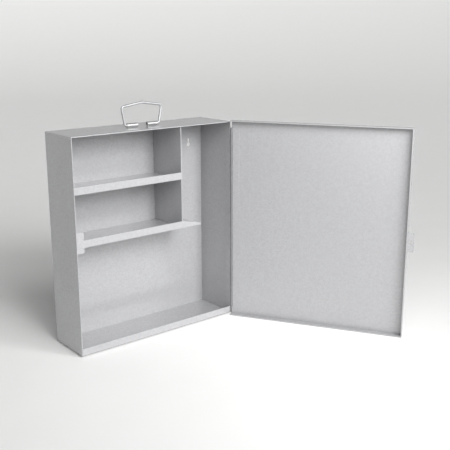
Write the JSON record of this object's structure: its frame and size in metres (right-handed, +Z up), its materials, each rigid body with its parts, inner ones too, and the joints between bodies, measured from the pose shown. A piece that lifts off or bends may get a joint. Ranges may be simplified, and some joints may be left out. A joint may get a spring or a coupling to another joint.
{
  "type": "first aid cabinet",
  "caption": "Shallow wall-hung sheet steel first aid cabinet with a wide door on a full-length hinge, fixed shelves, a divider and a wire carrying handle.",
  "frame": {"origin": "midway between the two keyholes' round holes, on the back face that lies on the wall", "axes": "+X to the cabinet's right as seen from the front, +Y into the wall, +Z up"},
  "size_m": [0.54, 0.4256, 0.4561],
  "materials": {
    "silver_paint": "speckled silver-grey semi-gloss enamel",
    "hinge_steel": "thin silver paint over rolled steel",
    "hinge_pin_steel": "drawn steel wire",
    "handle_wire_plate": "bright zinc plate on drawn wire",
    "clip_plate": "bright zinc plate on steel strip"
  },
  "bodies": {
    "cabinet": {"back_panel": "silver_paint", "left_side": "silver_paint", "right_side": "silver_paint", "top_panel": "silver_paint", "bottom_panel": "silver_paint", "upper_shelf": "silver_paint", "lower_shelf": "silver_paint", "divider": "silver_paint", "shelf_clip": "silver_paint", "hinge_body_leaf": "hinge_steel", "hinge_pin": "hinge_pin_steel", "handle_clip_left": "clip_plate", "handle_clip_right": "clip_plate"},
    "door": {"door_pan": "silver_paint", "hinge_door_leaf": "hinge_steel", "hasp_tab": "silver_paint"},
    "handle": {"handle_bail": "handle_wire_plate"}
  },
  "joints": [
    {"name": "door_swing", "type": "hinge", "parent": "cabinet", "child": "door", "pos_m": [0.1781, -0.1006, -0.1483], "axis": [0, 0, 1], "range_deg": [-120.5, 69.5]},
    {"name": "handle_swing", "type": "hinge", "parent": "cabinet", "child": "handle", "pos_m": [0, -0.0492, 0.05858], "axis": [1, 0, 0], "range_deg": [-90, 88]}
  ]
}
